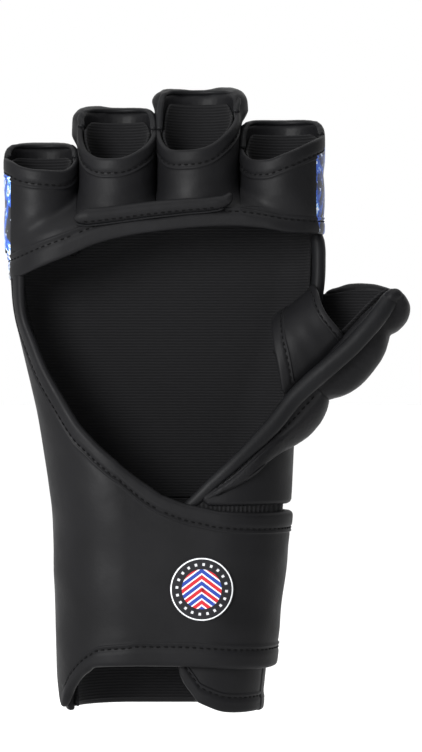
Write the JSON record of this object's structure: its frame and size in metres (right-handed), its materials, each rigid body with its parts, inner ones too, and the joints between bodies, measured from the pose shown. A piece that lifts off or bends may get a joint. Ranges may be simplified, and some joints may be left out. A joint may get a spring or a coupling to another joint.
{
  "type": "mma glove",
  "caption": "Open-palm grappling glove, right hand, with padded finger sleeves, a padded thumb loop and a hook-and-loop wrist strap, closed as worn.",
  "frame": {"origin": "middle of the wrist opening, level with the cuff's hem", "axes": "+Z from the wrist to the fingertips, -Y out of the palm, +Y out of the back of the hand, +X to the thumb"},
  "size_m": [0.1543, 0.0594, 0.2313],
  "materials": {
    "black_leather": "satin",
    "trim_leather": "satin",
    "printed_leather": "satin",
    "lining_cloth": "matte",
    "foam": "matte",
    "elastic_web": "matte",
    "loop_pile": "matte",
    "hook_tape": "matte",
    "tab_rubber": "matte",
    "badge_print": "satin"
  },
  "bodies": {
    "hand": {"cuff_lining": "lining_cloth", "cuff_back": "black_leather", "loop_patch": "loop_pile", "wrist_elastic": "elastic_web", "side_panel_lining": "lining_cloth", "side_panel_foam": "foam", "side_panel": "black_leather", "palm_band_lining": "lining_cloth", "palm_band": "black_leather", "grip_roll": "trim_leather", "hand_back_lining": "lining_cloth", "hand_back_foam": "foam", "hand_back_cover": "printed_leather", "knuckle_pad_foam": "foam", "knuckle_pad_cover": "printed_leather", "thenar_pad_foam": "foam", "thenar_pad_cover": "black_leather", "thenar_panel": "black_leather", "thenar_binding": "trim_leather"},
    "thumb": {"thumb_lining": "lining_cloth", "thumb_loop": "black_leather", "thumb_pad_foam": "foam", "thumb_pad_cover": "black_leather", "thumb_binding": "trim_leather"},
    "strap_front": {"strap_lining": "lining_cloth", "strap_front": "black_leather", "badge": "badge_print"},
    "strap_tail": {"strap_tail": "black_leather", "hook_patch": "hook_tape", "strap_tab": "tab_rubber"},
    "underlap": {"underlap_lining": "lining_cloth", "underlap": "black_leather"},
    "little": {"little_lining": "lining_cloth", "little_sleeve": "black_leather", "little_pad_foam": "foam", "little_pad_cover": "black_leather"},
    "ring": {"ring_lining": "lining_cloth", "ring_sleeve": "black_leather", "ring_pad_foam": "foam", "ring_pad_cover": "black_leather"},
    "middle": {"middle_lining": "lining_cloth", "middle_sleeve": "black_leather", "middle_pad_foam": "foam", "middle_pad_cover": "black_leather"},
    "index": {"index_lining": "lining_cloth", "index_sleeve": "black_leather", "index_pad_foam": "foam", "index_pad_cover": "black_leather"}
  },
  "joints": [
    {"name": "little_curl", "type": "hinge", "parent": "hand", "child": "little", "pos_m": [-0.0483, -0.01365, 0.17], "axis": [1, 0, 0], "range_deg": [0, 75], "stiffness_Nm_per_rad": 0.02},
    {"name": "ring_curl", "type": "hinge", "parent": "hand", "child": "ring", "pos_m": [-0.0199, -0.01445, 0.187], "axis": [1, 0, 0], "range_deg": [0, 75], "stiffness_Nm_per_rad": 0.02},
    {"name": "middle_curl", "type": "hinge", "parent": "hand", "child": "middle", "pos_m": [0.0103, -0.01535, 0.1895], "axis": [1, 0, 0], "range_deg": [0, 75], "stiffness_Nm_per_rad": 0.02},
    {"name": "index_curl", "type": "hinge", "parent": "hand", "child": "index", "pos_m": [0.0417, -0.01565, 0.182], "axis": [1, 0, 0], "range_deg": [0, 75], "stiffness_Nm_per_rad": 0.02},
    {"name": "thumb_flex", "type": "hinge", "parent": "hand", "child": "thumb", "pos_m": [0.0433, -0.019, 0.1294], "axis": [0.7431, 0, -0.6691], "range_deg": [0, 35], "stiffness_Nm_per_rad": 0.02},
    {"name": "strap_open", "type": "hinge", "parent": "hand", "child": "strap_front", "pos_m": [-0.028, -0.0232, 0.045], "axis": [0, 0, -1], "range_deg": [0, 60]},
    {"name": "tail_open", "type": "hinge", "parent": "strap_front", "child": "strap_tail", "pos_m": [0.03215, -0.0197, 0.045], "axis": [0, 0.0804, -0.9968], "range_deg": [0, 120]},
    {"name": "underlap_open", "type": "hinge", "parent": "hand", "child": "underlap", "pos_m": [0.0361, -0.0063, 0.03], "axis": [0.1077, 0, 0.9942], "range_deg": [0, 30]}
  ],
  "couplings": [
    {"joint": "tail_open", "follows": "strap_open", "ratio": 2},
    {"joint": "underlap_open", "follows": "strap_open", "ratio": 0.5}
  ]
}
